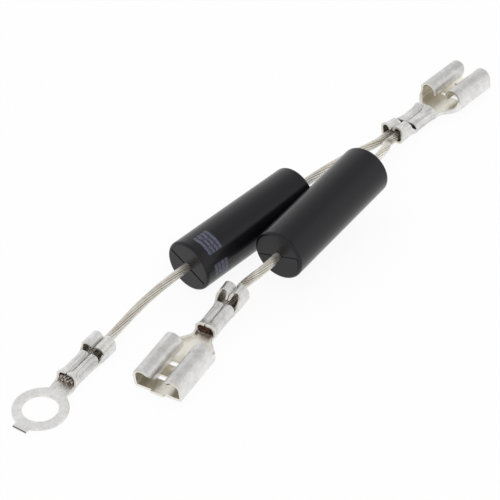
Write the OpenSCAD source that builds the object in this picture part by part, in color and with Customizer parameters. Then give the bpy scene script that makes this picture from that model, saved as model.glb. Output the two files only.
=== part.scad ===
// Twin high-voltage diode: two moulded bodies on bare stranded leads,
// with a ring terminal, a tab receptacle and a second receptacle that ties both far leads.
// Millimetres. The origin is the ring's hole, on its underside. +Y runs towards the shared receptacle.

/* [Bodies] */
// Diameter of each moulded body
body_d = 7.5; // [6:0.1:9]
// Length of each moulded body
body_l = 22; // [17:0.5:28]
// Rounding of the rim at each end face
body_rim_r = 0.4; // [0.2:0.05:0.8]
// Height by which one half of the mould stands proud on the end faces
seam_step = 0.08; // [0.04:0.01:0.2]
// Turn of the rectifier's mould seam from the horizontal
rectifier_seam_turn = 24; // [-90:1:90]
// Turn of the protector's mould seam from the horizontal
protector_seam_turn = -19; // [-90:1:90]

/* [Die stacks] */
// Diameter of the column of dice
stack_d = 2.6; // [2.4:0.1:3.6]
// Length of the column of dice
stack_l = 7; // [5:0.5:10]

/* [Leads] */
// Diameter of the stranded leads
lead_d = 1.25; // [1:0.05:1.35]
// Share of its free span over which a lead holds its way out of the body
lead_leave_share = 0.55; // [0.3:0.05:0.7]
// Share of its free span over which a lead holds its way into the crimp
lead_enter_share = 0.2; // [0.15:0.05:0.4]
// Straight run of a lead out of its body and into its crimp
lead_straight = 1.2; // [1:0.1:2]
// Diameter of the soldered head of each lead
head_d = 2.2; // [1.6:0.1:2.4]
// Thickness of the soldered head
head_t = 0.5; // [0.3:0.1:1]
// Length of strands that stands out of the front of each wire barrel
strand_stub = 0.5; // [0.2:0.1:0.8]

/* [Sheet and crimps] */
// Thickness of the terminals' sheet
sheet_t = 0.4; // [0.3:0.02:0.44]
// Width of the pressed strands in a crimp with one lead
single_core_w = 2.2; // [2:0.05:2.4]
// Width of the pressed strands in the crimp with two leads
double_core_w = 2.8; // [2.6:0.05:3]
// Height of the pressed strands below the curled edges
core_h = 0.5; // [0.4:0.02:0.6]
// Length of each wire barrel
wire_barrel_l = 4.7; // [4:0.1:6]
// Bend radius at the foot of the wire barrels, on the centre line
wire_foot_r = 0.4; // [0.35:0.02:0.5]
// Overall width of each insulation barrel
grip_w = 3.8; // [3.6:0.05:4.2]
// Length of each insulation barrel
grip_l = 2.6; // [2:0.1:4]
// Bend radius at the foot of the insulation barrels, on the centre line
grip_foot_r = 0.8; // [0.6:0.05:0.9]
// Length of the low strap between the two barrels
strap_l = 1; // [0.7:0.05:1.4]
// Height of the low walls of necks and straps, over the bend at their foot
low_wall_h = 0.3; // [0.1:0.05:0.4]

/* [Tab receptacles] */
// Width of the mating tab
tab_w = 6.3; // [5.8:0.1:6.6]
// Thickness of the mating tab
tab_t = 0.8; // [0.5:0.05:0.9]
// Length of the rolled part
box_l = 7.8; // [7:0.1:9]
// Height of the rolled part over its base
box_h = 3.2; // [3:0.05:3.6]
// Width of each rolled wing
roll_w = 2.8; // [2.4:0.05:3]
// Bend radius at the foot of the wings, on the centre line
box_foot_r = 0.35; // [0.3:0.02:0.5]
// Length of the neck between the rolled part and the wire barrel
neck_l = 3.7; // [2.5:0.1:4.5]
// Chamfer at the front of each curled edge, which leads the mating tab in
entry_cut = 1; // [0.6:0.1:1.4]
// Width of the two cross slots in the base
slot_w = 3; // [2:0.1:4]
// Length of each cross slot along the receptacle
slot_l = 0.7; // [0.4:0.05:1]
// Distance from the front edge to the first cross slot
slot_from_front = 2.1; // [1.5:0.1:3]
// Length of the detent strap between the two cross slots
detent_l = 2.1; // [1.6:0.1:2.6]
// Diameter of the detent dimple on the strap
dimple_d = 1.2; // [0.8:0.1:1.5]
// Height of the detent dimple
dimple_h = 0.15; // [0.1:0.01:0.2]

/* [Ring terminal] */
// Outer diameter of the ring
ring_d = 7.4; // [7:0.1:9]
// Diameter of the bolt hole
ring_hole_d = 4.75; // [4:0.05:5.3]
// Distance from the hole's centre to the wire barrel
ring_neck_l = 5.4; // [4.9:0.1:6.5]
// Width of the flat neck
ring_neck_w = 2.6; // [2:0.1:2.6]

/* [Cut-off tabs] */
// Width of the remainder of the carrier strip
cutoff_w = 2.1; // [1.5:0.1:3]
// Length of the remainder on the ring terminal
ring_cutoff_l = 0.6; // [0.4:0.1:1.2]
// Length of the remainder on each tab receptacle
tab_cutoff_l = 0.3; // [0.2:0.05:0.8]

/* [Lie of the part] */
// Turn of the ring terminal about the vertical
ring_turn = 8.5; // [0:0.5:15]
// Way from the ring terminal's cable end to the rectifier, along Y
ring_lead_run = 16; // [14:0.5:22]
// Sideways way from the ring terminal's cable end to the rectifier, towards -X
ring_lead_shift = 0.1; // [0:0.1:1]
// Way from the rectifier to the shared receptacle's cable end, along Y
common_lead_run = 21.4; // [18:0.1:26]
// Sideways way from the rectifier to the shared receptacle's cable end
common_lead_shift = 0.6; // [0:0.1:1]
// Turn of the shared receptacle about the vertical, from pointing back at the ring
common_turn = 1.2; // [0:0.2:3]
// Lift of the left side of the shared receptacle
common_roll = 8; // [0:0.5:10]
// Length of the protector that lies beside the rectifier
protector_beside = 14; // [11:0.5:16]
// How far round the rectifier the protector leans on it, from level
protector_perch = 17.5; // [12:0.5:30]
// Turn of the protector about the vertical
protector_turn = 7; // [5:0.5:9]
// Rise of the protector's far end
protector_pitch = 1.5; // [0:0.1:3]
// Clearance between the two bodies
body_gap = 0.2; // [0.1:0.05:0.5]
// Way from the protector to the tab receptacle's cable end, along Y
tab_lead_run = 6.3; // [6:0.1:8]
// Sideways way from the protector to the tab receptacle's cable end, towards -X
tab_lead_shift = 1.4; // [0.6:0.1:1.8]
// Turn of the tab receptacle about the vertical
tab_turn = 11; // [5:0.2:13]
// Rise of the tab receptacle towards its cable end
tab_pitch = 3.8; // [2:0.1:6]
// Lift of the right side of the tab receptacle
tab_roll = 4.8; // [0:0.1:8]

/* [Fits] */
// Clearance between moulding and metal, and between strands and crimp
bond_fit = 0.02; // [0.01:0.01:0.04]
// Gap between the two curled edges of a barrel
seam_gap = 0.04; // [0.02:0.01:0.08]
// Clearance beside the mating tab
tab_side_fit = 0.15; // [0.1:0.01:0.25]
// Clearance over the mating tab
tab_top_fit = 0.1; // [0.05:0.01:0.2]

/* [Hidden] */
$fn = 48;

body_r = body_d / 2;
lead_r = lead_d / 2;
half_t = sheet_t / 2;
right_angle = 90;
half_turn = 180;

// Lofted links run inside the sheet of the pieces they join
loft_skin = 0.03;
loft_t = sheet_t - 2 * loft_skin;
loft_bite = 0.25;
loft_stations = 6;
loft_arc_steps = 6;
core_foot_steps = 3;
core_lobe_steps = 8;
lead_curve_steps = 16;

// Way over which the strands go from round to pressed ends just clear of the wire barrel
press_clear = 0.1;

// Depth by which the proud mould half is let into the body
seam_bite = 0.05;

// Cutters stand past the sheet by its thickness on both sides
cut_h = sheet_t + 2 * sheet_t;

// Slant of the entry chamfers, and how far their cutters stand past the edge
entry_slant = right_angle / 2;
entry_past = 0.1;

// Tab receptacle, on the sheet's centre line
box_half = tab_w / 2 + tab_side_fit + half_t;
roll_r = (roll_w - sheet_t) / 2;
roll_centre_h = box_h - half_t - roll_r;
lip_h = sheet_t + tab_t + tab_top_fit;
box_fold = [
    [0, box_half - box_foot_r],
    [box_foot_r, right_angle],
    [0, roll_centre_h - half_t - box_foot_r],
    [roll_r, half_turn],
    [0, roll_centre_h - lip_h]
];

// Crimps
core_top_h = sheet_t + bond_fit + core_h;
lobe_centre_h = core_top_h + bond_fit;
lead_h = sheet_t + bond_fit + lead_r;
grip_half = grip_w / 2 - half_t;
grip_centre_h = lead_h + lead_r + bond_fit;
receptacle_wire_y = box_l + neck_l;
receptacle_l = receptacle_wire_y + barrels_l();
ring_l = ring_neck_l + barrels_l();

function barrels_l() = wire_barrel_l + strap_l + grip_l;
function wire_half(core_w) = core_w / 2 + bond_fit + half_t;
function lobe_r(half) = (half - half_t - seam_gap / 2) / 2;

// Half section of a barrel: foot, corner, side and curled edge
function barrel_fold(half, foot_r, centre_h) = [
    [0, half - foot_r],
    [foot_r, right_angle],
    [0, centre_h - half_t - foot_r],
    [lobe_r(half), half_turn]
];

// A frame is its rows: the directions of local X, Y and Z, then the origin
function frame_turned(at, turn, pitch = 0, lift = 0) =
    let (
        along = [-sin(turn) * cos(pitch), cos(turn) * cos(pitch), sin(pitch)],
        level = [cos(turn), sin(turn), 0],
        upright = cross(level, along),
        right = cos(lift) * level + sin(lift) * upright
    ) [right, along, cross(right, along), at];
function at_frame(f, p) = f[3] + p[0] * f[0] + p[1] * f[1] + p[2] * f[2];
function unit(v) = v / norm(v);

// Height of a receptacle's middle over its low edge when it is rolled onto that edge
function edge_drop(roll) = (box_half - box_foot_r) * sin(roll) + (box_foot_r + half_t) * (1 - cos(roll));

// Places: the ring is at the origin, and each piece follows the one it hangs on
ring_frame = frame_turned([0, 0, 0], ring_turn);
ring_tail = at_frame(ring_frame, [0, ring_l, lead_h]);
rectifier_at = [ring_tail[0] - ring_lead_shift, ring_tail[1] + ring_lead_run, body_r];
rectifier_frame = frame_turned(rectifier_at, 0);
rectifier_end = at_frame(rectifier_frame, [0, body_l, 0]);
common_along = frame_turned([0, 0, 0], half_turn + common_turn)[1];
common_at = [
    rectifier_end[0] + common_lead_shift - receptacle_l * common_along[0],
    rectifier_end[1] + common_lead_run - receptacle_l * common_along[1],
    edge_drop(common_roll)
];
common_frame = frame_turned(common_at, half_turn + common_turn, 0, -common_roll);
perch_way = body_d + body_gap;
perch_at = rectifier_end + perch_way * [cos(protector_perch), 0, sin(protector_perch)];
perch_frame = frame_turned(perch_at, protector_turn, protector_pitch);
protector_at = at_frame(perch_frame, [0, -protector_beside, 0]);
protector_frame = frame_turned(protector_at, protector_turn, protector_pitch);
tab_along = frame_turned([0, 0, 0], tab_turn, tab_pitch)[1];
tab_at = [
    protector_at[0] - tab_lead_shift - receptacle_l * tab_along[0],
    protector_at[1] - tab_lead_run - receptacle_l * tab_along[1],
    edge_drop(tab_roll) * cos(tab_pitch)
];
tab_frame = frame_turned(tab_at, tab_turn, tab_pitch, tab_roll);

// Draws children in a frame
module in_frame(f) {
    multmatrix([
        [f[0][0], f[1][0], f[2][0], f[3][0]],
        [f[0][1], f[1][1], f[2][1], f[3][1]],
        [f[0][2], f[1][2], f[2][2], f[3][2]],
        [0, 0, 0, 1]
    ]) children();
}

// Strip of sheet along Y, folded in XZ from a list of flats [0, length] and bends [radius, angle]
module folded(moves, length, i = 0) {
    if (i < len(moves)) {
        r = moves[i][0];
        amount = moves[i][1];
        if (r == 0) {
            translate([0, 0, -half_t]) cube([amount, length, sheet_t]);
            translate([amount, 0, 0]) folded(moves, length, i + 1);
        } else {
            in_frame([[0, 0, -1], [1, 0, 0], [0, -1, 0], [0, length, r]])
                rotate_extrude(angle = amount) translate([r - half_t, 0]) square([sheet_t, length]);
            translate([0, 0, r]) rotate([0, -amount, 0]) translate([0, 0, -r])
                folded(moves, length, i + 1);
        }
    }
}

// Both halves of a folded strip, standing on its base
module folded_both(moves, length) {
    translate([0, 0, half_t]) {
        folded(moves, length);
        mirror([1, 0, 0]) folded(moves, length);
    }
}

// Cap of a ring whose second half runs back beside its first half, as rungs between the two
function rung_cap(count) = [
    for (j = [0:count / 2 - 2]) let (k = count - 1 - j)
        each [[j, j + 1, k - 1], [j, k - 1, k]]
];
function turned_over(faces) = [for (f = faces) backwards(f)];
function moved_on(faces, n) = [for (f = faces) [for (i = f) i + n]];

// Closed skin through rings of equally many points, with the cap's faces given for the first ring
module loft(rings, cap) {
    count = len(rings[0]);
    last = len(rings) - 1;
    sides = [
        for (i = [0:last - 1], j = [0:count - 1]) let (
            k = (j + 1) % count,
            here = i * count,
            next = here + count
        ) each [[here + j, here + k, next + k], [here + j, next + k, next + j]]
    ];
    polyhedron(
        [for (ring = rings) each ring],
        concat(sides, turned_over(cap), moved_on(cap, last * count))
    );
}

function flipped(points) = [for (p = points) [-p[0], p[1]]];
function backwards(points) = [for (i = [len(points) - 1:-1:0]) points[i]];

// Outline of a low U-shaped sheet section: outer side, then inner side
function u_half(half, r, skin) = [
    for (i = [0:loft_arc_steps]) let (a = -right_angle + right_angle * i / loft_arc_steps)
        [half - r + (r + skin) * cos(a), half_t + r + (r + skin) * sin(a)],
    [half + skin, half_t + r + low_wall_h]
];
function u_ring(half, r) =
    let (outer = u_half(half, r, loft_t / 2), inner = u_half(half, r, -loft_t / 2))
    concat(backwards(flipped(outer)), outer, backwards(inner), flipped(inner));

// Share of a change that is made at share u of its way, with an even start and end
function eased(u) = u * u * (3 - 2 * u);

// Low U-shaped link between two sections, each given as half width and foot radius.
// It keeps its section where it is let into the pieces at its ends
module low_link(from_y, to_y, from_half, from_r, to_half, to_r) {
    stations = [
        [from_y - loft_bite, 0],
        for (i = [0:loft_stations]) let (u = i / loft_stations)
            [from_y + (to_y - from_y) * u, eased(u)],
        [to_y + loft_bite, 1]
    ];
    loft([
        for (st = stations) [
            for (p = u_ring(from_half + (to_half - from_half) * st[1], from_r + (to_r - from_r) * st[1]))
                [p[0], st[0], p[1]]
        ]
    ], rung_cap(4 * (loft_arc_steps + 2)));
}

// Wire barrel, strap and insulation barrel from start_y towards the cable
module barrels(start_y, core_w) {
    half = wire_half(core_w);
    wire_end = start_y + wire_barrel_l;
    translate([0, start_y, 0])
        folded_both(barrel_fold(half, wire_foot_r, lobe_centre_h), wire_barrel_l);
    low_link(wire_end, wire_end + strap_l, half, wire_foot_r, grip_half, grip_foot_r);
    translate([0, wire_end + strap_l, 0])
        folded_both(barrel_fold(grip_half, grip_foot_r, grip_centre_h), grip_l);
}

// Remainder of the carrier strip, standing out towards -Y from edge_y
module cutoff(edge_y, length) {
    translate([-cutoff_w / 2, edge_y - length, 0]) cube([cutoff_w, length + loft_bite, sheet_t]);
}

// Cross slots in the receptacle's base, in front of and behind the detent strap
module cross_slots() {
    for (y = [slot_from_front, slot_from_front + slot_l + detent_l])
        translate([-slot_w / 2, y, -sheet_t]) cube([slot_w, slot_l, cut_h]);
}

// Slanted cuts under the front of both curled edges
module entry_cuts() {
    slant_l = entry_cut / sin(entry_slant) + 2 * entry_past;
    depth = entry_cut * sin(entry_slant) + entry_past;
    for (side = [0, 1]) mirror([side, 0, 0])
        translate([box_half - 2 * roll_r - sheet_t, entry_cut, lip_h])
            rotate([right_angle + entry_slant, 0, 0])
                translate([0, -entry_past, 0]) cube([roll_r + sheet_t, slant_l, depth]);
}

// Domed detent on the strap between the slots
module dimple() {
    dome_r = (dimple_d * dimple_d / 4 + dimple_h * dimple_h) / (2 * dimple_h);
    translate([0, slot_from_front + slot_l + detent_l / 2, sheet_t - dome_r + dimple_h])
        intersection() {
            sphere(dome_r);
            translate([0, 0, dome_r - dimple_h - half_t]) cylinder(d = dimple_d, h = dome_r);
        }
}

// Tab receptacle folded from one sheet: rolled wings, neck and the two barrels
module receptacle(core_w) {
    difference() {
        folded_both(box_fold, box_l);
        cross_slots();
        entry_cuts();
    }
    dimple();
    cutoff(0, tab_cutoff_l);
    low_link(box_l, receptacle_wire_y, box_half, box_foot_r, wire_half(core_w), wire_foot_r);
    barrels(receptacle_wire_y, core_w);
}

// Half outline of the pressed strands, from the middle of the base to the middle of the top:
// a slab on the base with a rounded foot, and a lobe under the curled edge
function core_half(core_w, inset) =
    let (
        half = core_w / 2,
        lobe = lobe_r(wire_half(core_w)),
        lobe_x = wire_half(core_w) - lobe,
        lobe_in = lobe - half_t - bond_fit,
        foot = wire_foot_r - half_t,
        base_h = sheet_t + bond_fit
    ) [
        [inset, base_h],
        for (i = [0:core_foot_steps]) let (a = -right_angle + right_angle * i / core_foot_steps)
            [half - foot + foot * cos(a), base_h + foot + foot * sin(a)],
        for (i = [0:core_lobe_steps]) let (a = half_turn * i / core_lobe_steps)
            [lobe_x + lobe_in * cos(a), lobe_centre_h + lobe_in * sin(a)],
        [lobe_x - lobe_in, core_top_h],
        [inset, core_top_h]
    ];

// Closed outline of the pressed strands on both sides, or on one side only (1 right, -1 left)
function core_outline(core_w, side) =
    side == 0
        ? concat(core_half(core_w, 0), tail(backwards(flipped(core_half(core_w, 0)))))
        : side > 0
            ? core_half(core_w, bond_fit)
            : last_first(backwards(flipped(core_half(core_w, bond_fit))));
function tail(points) = [for (i = [1:len(points) - 2]) points[i]];
function last_first(points) = [for (i = [-1:len(points) - 2]) points[(i + len(points)) % len(points)]];

// Faces of the pressed outline: a fan over the slab and one over the lobe, on each side
function half_cap() =
    let (
        lobe_from = core_foot_steps + 2,
        lobe_to = lobe_from + core_lobe_steps,
        inner = lobe_to + 1,
        top = inner + 1
    ) concat(
        [[inner, top, 0], [inner, lobe_from, lobe_to]],
        [for (i = [0:lobe_from - 1]) [inner, i, i + 1]],
        [for (i = [lobe_from:lobe_to - 2]) [lobe_to, i, i + 1]]
    );
function other_cap(count) = [for (f = half_cap()) [for (i = backwards(f)) (count - i) % count]];
function core_cap(count, side) = concat(side >= 0 ? half_cap() : [], side <= 0 ? other_cap(count) : []);

// Stations [place, way] on a cubic curve from one place and way to another
function curve_stations(from, from_way, to, to_way) =
    let (
        span = norm(to - from),
        b = from + from_way * span * lead_leave_share,
        c = to - to_way * span * lead_enter_share
    ) [
        for (i = [0:lead_curve_steps]) let (t = i / lead_curve_steps, u = 1 - t) [
            u * u * u * from + 3 * u * u * t * b + 3 * u * t * t * c + t * t * t * to,
            unit(u * u * (b - from) + 2 * u * t * (c - b) + t * t * (to - c))
        ]
    ];

// Ring of a lead: round strands of radius r that become the pressed outline as press goes from 0 to 1
function lead_ring(place, way, right, r, outline, middle, press) =
    let (
        side = unit(right - (right * way) * way),
        up = cross(way, side),
        count = len(outline),
        first = outline[0] - middle,
        first_angle = atan2(first[1], first[0])
    ) backwards([
        for (i = [0:count - 1]) let (
            a = first_angle + 2 * half_turn * i / count,
            p = (1 - press) * r * [cos(a), sin(a)] + press * (outline[i] - middle)
        ) place + p[0] * side + p[1] * up
    ]);

// Lead from a body's end face, given with its outward way, into the crimp of a terminal frame.
// side 0 fills both lobes of the crimp, 1 the right one and -1 the left one
module lead(face, outward, terminal, barrel_y, core_w, side) {
    x = side * (lead_r + bond_fit);
    outline = core_outline(core_w, side);
    right = terminal[0];
    inward = -terminal[1];
    barrel_end = barrel_y + wire_barrel_l;
    root = face - outward * ((body_l - stack_l) / 2 - head_t - bond_fit);
    foot = root - outward * head_t;
    leave = face + outward * lead_straight;
    enter = at_frame(terminal, [x, barrel_end + strap_l + grip_l + lead_straight, lead_h]);
    round_end = at_frame(terminal, [x, barrel_end + strap_l, lead_h]);
    press_end = at_frame(terminal, [x, barrel_end + press_clear, lead_h]);
    stub_end = at_frame(terminal, [x, barrel_y - strand_stub, lead_h]);
    middle = [x, lead_h];
    count = len(outline);
    color("silver") loft(concat(
        [for (p = [foot, root]) lead_ring(p, outward, right, head_d / 2, outline, middle, 0)],
        [lead_ring(root, outward, right, lead_r, outline, middle, 0)],
        [
            for (s = curve_stations(leave, outward, enter, inward))
                lead_ring(s[0], s[1], right, lead_r, outline, middle, 0)
        ],
        [lead_ring(round_end, inward, right, lead_r, outline, middle, 0)],
        [for (p = [press_end, stub_end]) lead_ring(p, inward, right, lead_r, outline, middle, 1)]
    ), [for (f = core_cap(count, side)) [for (i = backwards(f)) count - 1 - i]]);
}

// Space in a body for the die stack, the heads and the leads, along Y from the near face
module filling() {
    space_l = stack_l + 2 * head_t + 4 * bond_fit;
    rotate([-right_angle, 0, 0]) {
        translate([0, 0, -seam_step - body_rim_r])
            cylinder(r = lead_r + bond_fit, h = body_l + 2 * (seam_step + body_rim_r));
        translate([0, 0, (body_l - space_l) / 2]) cylinder(d = head_d + 2 * bond_fit, h = space_l);
        translate([0, 0, (body_l - stack_l) / 2 - bond_fit])
            cylinder(d = stack_d + 2 * bond_fit, h = stack_l + 2 * bond_fit);
    }
}

// Moulded body along Y: rounded rims, and one mould half standing proud on both end faces
module moulding(seam_turn) {
    face_r = body_r - body_rim_r;
    difference() {
        rotate([-right_angle, 0, 0]) {
            rotate_extrude() {
                square([face_r, body_l]);
                translate([0, body_rim_r]) square([body_r, body_l - 2 * body_rim_r]);
                for (y = [body_rim_r, body_l - body_rim_r]) translate([face_r, y]) circle(body_rim_r);
            }
            for (z = [-seam_step, body_l - seam_bite])
                translate([0, 0, z]) rotate(seam_turn)
                    rotate_extrude(angle = half_turn) square([face_r - seam_bite, seam_step + seam_bite]);
        }
        filling();
    }
}

// Column of soldered dice, along Y in the middle of a body
module die_stack() {
    translate([0, (body_l - stack_l) / 2, 0]) rotate([-right_angle, 0, 0]) cylinder(d = stack_d, h = stack_l);
}

module rectifier_body() {
    color("#1b1b1d") in_frame(rectifier_frame) moulding(rectifier_seam_turn);
}

module rectifier_die_stack() {
    color("#6d7078") in_frame(rectifier_frame) die_stack();
}

module rectifier_ring_lead() {
    lead(rectifier_at, -rectifier_frame[1], ring_frame, ring_neck_l, single_core_w, 0);
}

module rectifier_common_lead() {
    lead(rectifier_end, rectifier_frame[1], common_frame, receptacle_wire_y, double_core_w, 1);
}

module protector_body() {
    color("#1b1b1d") in_frame(protector_frame) moulding(protector_seam_turn);
}

module protector_die_stack() {
    color("#6d7078") in_frame(protector_frame) die_stack();
}

module protector_tab_lead() {
    lead(protector_at, -protector_frame[1], tab_frame, receptacle_wire_y, single_core_w, 0);
}

module protector_common_lead() {
    protector_end = at_frame(protector_frame, [0, body_l, 0]);
    lead(protector_end, protector_frame[1], common_frame, receptacle_wire_y, double_core_w, -1);
}

module ring_terminal() {
    ring_r = ring_d / 2;
    color("#d5d6d8") in_frame(ring_frame) {
        difference() {
            union() {
                cylinder(d = ring_d, h = sheet_t);
                translate([-ring_neck_w / 2, 0, 0]) cube([ring_neck_w, ring_neck_l + loft_bite, sheet_t]);
                cutoff(-ring_r, ring_cutoff_l);
            }
            translate([0, 0, -sheet_t]) cylinder(d = ring_hole_d, h = cut_h);
        }
        barrels(ring_neck_l, single_core_w);
    }
}

module tab_receptacle() {
    color("#d5d6d8") in_frame(tab_frame) receptacle(single_core_w);
}

module common_receptacle() {
    color("#d5d6d8") in_frame(common_frame) receptacle(double_core_w);
}

rectifier_body();
rectifier_die_stack();
rectifier_ring_lead();
rectifier_common_lead();
protector_body();
protector_die_stack();
protector_tab_lead();
protector_common_lead();
ring_terminal();
tab_receptacle();
common_receptacle();
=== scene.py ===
"""Looks of a twin high-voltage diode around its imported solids: moulded bodies, bare stranded leads
and crimped terminals of tinned sheet, on a plain white stage."""

import math
from collections import namedtuple

import bmesh
import bpy
import numpy as np
from bpy.props import FloatProperty, FloatVectorProperty, IntProperty, PointerProperty
from mathutils import Matrix


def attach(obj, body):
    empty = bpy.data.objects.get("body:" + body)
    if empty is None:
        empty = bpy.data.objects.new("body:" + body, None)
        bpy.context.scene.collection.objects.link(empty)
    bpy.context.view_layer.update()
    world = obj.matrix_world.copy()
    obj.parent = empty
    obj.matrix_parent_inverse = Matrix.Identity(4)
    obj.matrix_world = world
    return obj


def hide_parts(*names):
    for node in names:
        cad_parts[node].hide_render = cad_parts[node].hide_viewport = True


bl_info = {
    "name": "Twin High-Voltage Diode",
    "version": (1, 0, 0),
    "blender": (4, 5, 0),
    "location": "3D View > Sidebar > Diode",
    "description": "Moulded diodes on stranded leads with crimped terminals",
    "category": "Add Mesh",
}

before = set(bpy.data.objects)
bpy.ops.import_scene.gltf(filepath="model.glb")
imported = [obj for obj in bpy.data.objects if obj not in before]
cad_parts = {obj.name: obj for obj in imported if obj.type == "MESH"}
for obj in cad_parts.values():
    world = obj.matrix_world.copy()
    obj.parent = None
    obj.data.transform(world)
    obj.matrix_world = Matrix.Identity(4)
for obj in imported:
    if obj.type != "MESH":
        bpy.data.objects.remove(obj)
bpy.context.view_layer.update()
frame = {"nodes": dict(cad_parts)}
BODY = "root"

# Shapes are worked out in millimetres and put into the meshes in metres
MM = 0.001


def turned(at, turn, pitch=0.0, lift=0.0):
    """Frame with rows right, along, up and origin: turned about the vertical, risen along itself, then
    lifted on its right."""
    t, p, r = np.radians([turn, pitch, lift])
    along = np.array([-np.sin(t) * np.cos(p), np.cos(t) * np.cos(p), np.sin(p)])
    level = np.array([np.cos(t), np.sin(t), 0.0])
    right = np.cos(r) * level + np.sin(r) * np.cross(level, along)
    return np.array([right, along, np.cross(right, along), at])


# Frames of the terminals and bodies as the CAD has them, in millimetres and degrees
RING_FRAME = turned((0, 0, 0), 8.5)
TAB_FRAME = turned((9.29393, 11.96515, 0.26493), 11, 3.8, 4.8)
COMMON_FRAME = turned((-1.93965, 92.74517, 0.44375), 181.2, 0, -8)
RECTIFIER_FRAME = turned((-2.12499, 29.5495, 3.75), 0)
PROTECTOR_FRAME = turned((6.92422, 37.6586, 5.69896), 7, 1.5)


def placed(local, place):
    """Points in a frame, as points of the part."""
    return local @ place[:3] + place[3]


def unit(v):
    """Vectors of length one."""
    return v / np.linalg.norm(v, axis=-1, keepdims=True)


def eased(u):
    """Share of a change made at share u of its way, with an even start and end: 3u^2 - 2u^3."""
    u = np.clip(u, 0, 1)
    return u * u * (3 - 2 * u)


def bump_at(y, centre, width):
    """Bell curve round a place, one high: e to the minus square of the distance over the width."""
    return np.exp(-(((y - centre) / width) ** 2))


def ramp(y, at, reach):
    """Share of a rise that is left at a distance from its place: e to the minus distance over the reach."""
    return np.exp(-np.abs(y - at) / reach)


# Sheet metal

# Sections of the folded sheet on its middle surface: half width, foot radius, low wall, height of the top,
# radius of the shoulder, flat on top, radius of the curled edge and length of its straight end
Fold = namedtuple("Fold", "half foot_r wall top_h shoulder_r flat curl_r edge")
SHEET_T = 0.4
BOX = Fold(3.5, 0.35, 0.3, 3.0, 1.2, 0.0, 1.2, 0.5)
SINGLE_WIRE = Fold(1.32, 0.4, 0.22, 1.49, 0.5, 0.35, 0.25, 0.0)
DOUBLE_WIRE = Fold(1.62, 0.4, 0.22, 1.64, 0.5, 0.65, 0.25, 0.0)
GRIP = Fold(1.7, 0.8, 0.3, 2.43, 0.74, 0.0, 0.74, 0.0)

# Sizes of the terminals
BOX_L, NECK_L, WIRE_L, STRAP_L, GRIP_L = 7.8, 3.7, 4.7, 1.0, 2.6
RING_R, HOLE_R, RING_NECK_L, RING_NECK_HALF = 3.7, 2.375, 5.4, 1.3
CUTOFF_HALF, RING_CUTOFF_L, TAB_CUTOFF_L = 1.05, 0.6, 0.3

# Wings at a receptacle's entry: length and turn by which they are cut back, share of the straight end left
ENTRY_CUT, ENTRY_TURN, ENTRY_EDGE = 1.0, math.radians(48), 0.04

# Base of a receptacle: its slots, its dimple, and a place where it is plain
SLOT_HALF = 1.5
SLOTS = ((2.1, 2.8), (4.9, 5.6))
DIMPLE_Y, DIMPLE_R, DIMPLE_H = 3.85, 0.5, 0.2
PLAIN_Y = 0.5

# Ring: widening of its neck, hollow fillet between both and where it begins, length over which the neck folds
WIDER, WIDER_Y, WIDER_L = 0.3, 3.2, 1.8
FILLET, FILLET_Y, FILLET_L, FILLET_FROM = 0.3, 3.4, 0.9, 2.2
RING_FOLD_L = 0.9

# Barrels: how early the neck is narrow, ramps of the low walls, and how the ends open, widen and lean
NECK_HASTE = 1.15
BOX_WALL_RISE, BOX_WALL_REACH = 0.85, 0.45
GRIP_WALL_RISE, GRIP_WALL_REACH = 0.33, 0.35
OPEN_L, OPEN_ROUNDER = 1.4, 0.3
MOUTH_FLARE_L, CABLE_FLARE, CABLE_FLARE_L = 0.5, 0.7, 0.4
CABLE_RISE, CABLE_RISE_L = 0.25, 0.5
REAR_L, REAR_WIDER, SINGLE_REAR, SHARED_REAR = 0.9, 0.15, 0.1, 0.8
MOUTH_LEAN, CABLE_LEAN = 0.15, -0.35

# Finish: length over which a sheet turns worked, how much less the insulation barrel is worked, how much
# painted shade darkens the shared receptacle all over, and largest angles in degrees that are shaded smooth
WORKED_L, GRIP_SPARED, SHARED_SHADE = 0.3, 0.4, 0.25
SHEET_SMOOTH, STRAND_SMOOTH = 32, 60


class TerminalSettings(bpy.types.PropertyGroup):
    """Sizes and colours of the crimped terminals."""

    edge_break: FloatProperty(
        name="Edge Break", description="Chamfer along the sheet's edges", default=0.06 * MM, unit="LENGTH"
    )
    bell: FloatProperty(
        name="Bell Mouth", description="Widening of a wire barrel's ends", default=0.12 * MM, unit="LENGTH"
    )
    mouth_rise: FloatProperty(
        name="Mouth Rise", description="Rise of a wire barrel's mouth", default=0.42 * MM, unit="LENGTH"
    )
    mouth_turn: FloatProperty(
        name="Mouth Turn", description="Curl of the edges there", default=math.radians(30), subtype="ANGLE"
    )
    grip_lean: FloatProperty(
        name="Grip Lean", description="Lean of an insulation barrel's front", default=1.0 * MM, unit="LENGTH"
    )
    shared_lean: FloatProperty(
        name="Shared Lean", description="The same in the shared crimp", default=0.25 * MM, unit="LENGTH"
    )
    row_step: FloatProperty(
        name="Row Step", description="Distance of rows along a terminal", default=0.25 * MM, unit="LENGTH"
    )
    tin: FloatVectorProperty(
        name="Tin", description="Colour of the plating", default=(0.95, 0.945, 0.925), subtype="COLOR"
    )
    # Tint of the painted warm reflected light on the inner face of the folds
    warm: FloatVectorProperty(
        name="Inside", description="Colour inside the folds", default=(0.97, 0.925, 0.815), subtype="COLOR"
    )
    # Also the colour of the painted shade inside the barrels, at half its brightness
    bare: FloatVectorProperty(
        name="Cut Edge", description="Colour of cut sheet", default=(0.50, 0.44, 0.36), subtype="COLOR"
    )
    gloss: FloatProperty(
        name="Roughness", description="Roughness of the plating", default=0.36, subtype="FACTOR", min=0, max=1
    )


# Places along a terminal where its wire barrel and its insulation barrel start and end
Barrels = namedtuple("Barrels", "start wire_end grip_start grip_end")


def barrels_from(start):
    """Both barrels of a terminal whose wire barrel starts at a place."""
    wire_end = start + WIRE_L
    grip_start = wire_end + STRAP_L
    return Barrels(start, wire_end, grip_start, grip_start + GRIP_L)


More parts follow.
